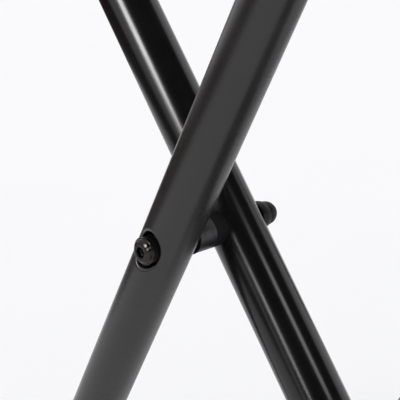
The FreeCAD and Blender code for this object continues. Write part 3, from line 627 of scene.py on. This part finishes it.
NUT_FACE = CROWN_BACK - 7.05
b = Build()
for side in (-1, 1):
    disc_into(b, along_y(0, sign=side),
              rounded([(4.05, CROWN_BACK - 0.05), (8.0, CROWN_BACK - 0.05),
                       (8.0, CROWN_BACK - 3.5), (7.45, NUT_FACE + 1.0), (6.9, NUT_FACE),
                       (4.05, NUT_FACE)], [0, 0.3, 2.5, 1.2, 0.35, 0], 5))
finish_piece(b.object("washer_nut", OUTER), "outer_frame", "black_oxide", OXIDE_DULL, "nut_washers")
b = Build()
for side in (-1, 1):
    outline = rounded([(4.0, NUT_FACE), (6.25, NUT_FACE), (6.6, NUT_FACE - 0.4),
                       (6.6, NUT_FACE - 2.3), (6.1, NUT_FACE - 4.8), (4.69, NUT_FACE - 6.9),
                       (2.64, NUT_FACE - 8.3), (0.0, NUT_FACE - 8.8)],
                      [0, 0.2, 0.3, 2.5, 3.0, 3.0, 4.0, 0], 6)
    outline = [(0.0, NUT_FACE - 5.6), (4.0, NUT_FACE - 5.6)] + outline
    lathe_into(b, outline, 72, along_y(0, sign=side))
finish_piece(b.object("nut_cap", OUTER), "outer_frame", "black_oxide", OXIDE_DULL, "cap_nuts")

for tag, frame_m, body, y in (("outer", OUTER, "outer_frame", OUTER_Y),
                              ("inner", INNER, "inner_frame", INNER_Y)):
    b, c = Build(), Build()
    for end in (-1, 1):
        for side in (-1, 1):
            place = along_z(0, side * y, end * REACH, sign=end)
            head_into(b, place, -40.0, 48)
            seat_into(c, place, 48)
    finish_piece(b.object("screw_bar_" + tag, frame_m), body, "black_oxide", OXIDE,
                 tag + "_bar_screws")
    finish_piece(c.object("seat_bar_" + tag, frame_m), body, "nylon", NYLON,
                 tag + "_bar_seat_bushes")


# ------------------------------------------------- pieces kept as modelled
for mat, names in (
        (NYLON, [f + "_leg_plug_" + e + "_" + g for f in ("outer", "inner")
                 for e in ("foot", "top") for g in ("front", "rear")]
         + ["disc_spacers", "clamp_pad", "knob_washer"]),
        (ZINC, ["outer_plug_nuts", "inner_plug_nuts", "disc_rivets", "clamp_sleeve", "clamp_stud"]),
        (RUBBER, ["foot_cap_" + f + "_" + g for f in ("outer", "inner") for g in ("front", "rear")]
         + ["arm_stop_" + f + "_" + g for f in ("outer", "inner") for g in ("front", "rear")]
         + ["outer_arm_sleeve", "inner_arm_sleeve"]),
        (OXIDE_DULL, ["lock_disc"]), (KNOB, ["star_knob"]), (BRASS, ["knob_insert"])):
    for name in names:
        piece = frame["nodes"][name]
        for k in range(len(piece.material_slots)):
            piece.material_slots[k].material = mat


# ----------------------------------------------------------------- stage
def card(name, centre, u, v, size, colour, strength, glossy=True, diffuse=False, shadow=False):
    """A flat soft panel, unseen by the camera."""
    mesh = bpy.data.meshes.new(name)
    u, v = Vector(u).normalized(), Vector(v).normalized()
    a, c = u * size[0] / 2, v * size[1] / 2
    o = Vector(centre)
    mesh.from_pydata([o - a - c, o + a - c, o + a + c, o - a + c], [], [(0, 1, 2, 3)])
    obj = bpy.data.objects.new(name, mesh)
    scene.collection.objects.link(obj)
    m = bpy.data.materials.new(name)
    m.use_nodes = True
    nt = m.node_tree
    nt.nodes.clear()
    e = nt.nodes.new("ShaderNodeEmission")
    e.inputs["Color"].default_value = (*colour, 1.0)
    e.inputs["Strength"].default_value = strength
    out = nt.nodes.new("ShaderNodeOutputMaterial")
    nt.links.new(e.outputs[0], out.inputs["Surface"])
    mesh.materials.append(m)
    obj.visible_camera = False
    obj.visible_diffuse = diffuse
    obj.visible_glossy = glossy
    obj.visible_shadow = shadow
    obj.visible_transmission = False
    return obj


floor_mesh = bpy.data.meshes.new("floor")
floor_mesh.from_pydata([(-30, -30, 0), (30, -30, 0), (30, 30, 0), (-30, 30, 0)], [], [(0, 1, 2, 3)])
floor = bpy.data.objects.new("floor", floor_mesh)
scene.collection.objects.link(floor)
fm, fnt, fp = node_material("floor_paper")
sheet = noise(fnt, coords(fnt), 1.5, 2.0, 0.5)
fnt.links.new(ramp(fnt, sheet, [(0.3, (0.950, 0.950, 0.967)), (0.7, (0.958, 0.958, 0.975))]),
              fp.inputs["Base Color"])
fp.inputs["Roughness"].default_value = 0.9
fp.inputs["Specular IOR Level"].default_value = 0.1
floor_mesh.materials.append(fm)

HUB = Vector((0.0, -0.245, 0.423))


def panel(name, az, el, distance, size, colour, strength=1.0):
    """A glossy-only card facing the pivot, seen from it at az, el degrees."""
    a, e = math.radians(az), math.radians(el)
    out = Vector((math.cos(e) * math.cos(a), math.cos(e) * math.sin(a), math.sin(e)))
    side = Vector((-math.sin(a), math.cos(a), 0.0))
    return card(name, HUB + out * distance, side, out.cross(side), size, colour, strength)


# black flags above and in front, a warm dark one at the left, a dark one below
panel("flag_front", -50, 30, 2.0, (3.4, 2.6), (0.03, 0.03, 0.032))
panel("flag_right", 20, 45, 2.0, (2.6, 2.6), (0.02, 0.02, 0.022))
panel("flag_left", -165, -14, 2.0, (3.0, 1.5), (0.05, 0.030, 0.028))
panel("flag_corner", -112, -4, 2.1, (1.4, 0.6), (0.04, 0.04, 0.04))
card("flag_low", (0.47, -0.14, 0.004), (1, 0, 0), (0, 1, 0), (0.62, 0.34), (0.10, 0.10, 0.10), 1.0)
# strip lights seen as streaks
panel("strip_top", -93, 27, 1.9, (0.5, 0.45), (1.0, 1.0, 1.0), 24.0)
panel("strip_mid", -97, 18, 1.85, (0.25, 0.25), (1.0, 1.0, 1.0), 6.0)
panel("strip_low", -72, 11, 1.9, (0.22, 0.45), (1.0, 1.0, 1.0), 9.0)
panel("strip_side", 0, 32, 1.9, (0.4, 0.4), (1.0, 1.0, 1.0), 5.0)

world = bpy.data.worlds.new("studio")
scene.world = world
world.use_nodes = True
world.node_tree.nodes["Background"].inputs["Color"].default_value = (1.0, 1.0, 1.0, 1)
world.node_tree.nodes["Background"].inputs["Strength"].default_value = 1.0

scene.view_settings.view_transform = "Standard"
scene.view_settings.look = "None"

cam = bpy.data.cameras.new("camera")
cam_obj = bpy.data.objects.new("camera", cam)
scene.collection.objects.link(cam_obj)
cam.sensor_width = 36.0
cam.lens = 89.872
cam.clip_start = 0.01
cam.clip_end = 200.0
axes = Matrix(((0.695434, -0.134664, 0.705859), (0.716566, 0.203635, -0.667133),
               (-0.053899, 0.969742, 0.238110))).to_4x4()
cam_obj.matrix_world = Matrix.Translation((0.359533, -0.585168, 0.561611)) @ axes
scene.camera = cam_obj
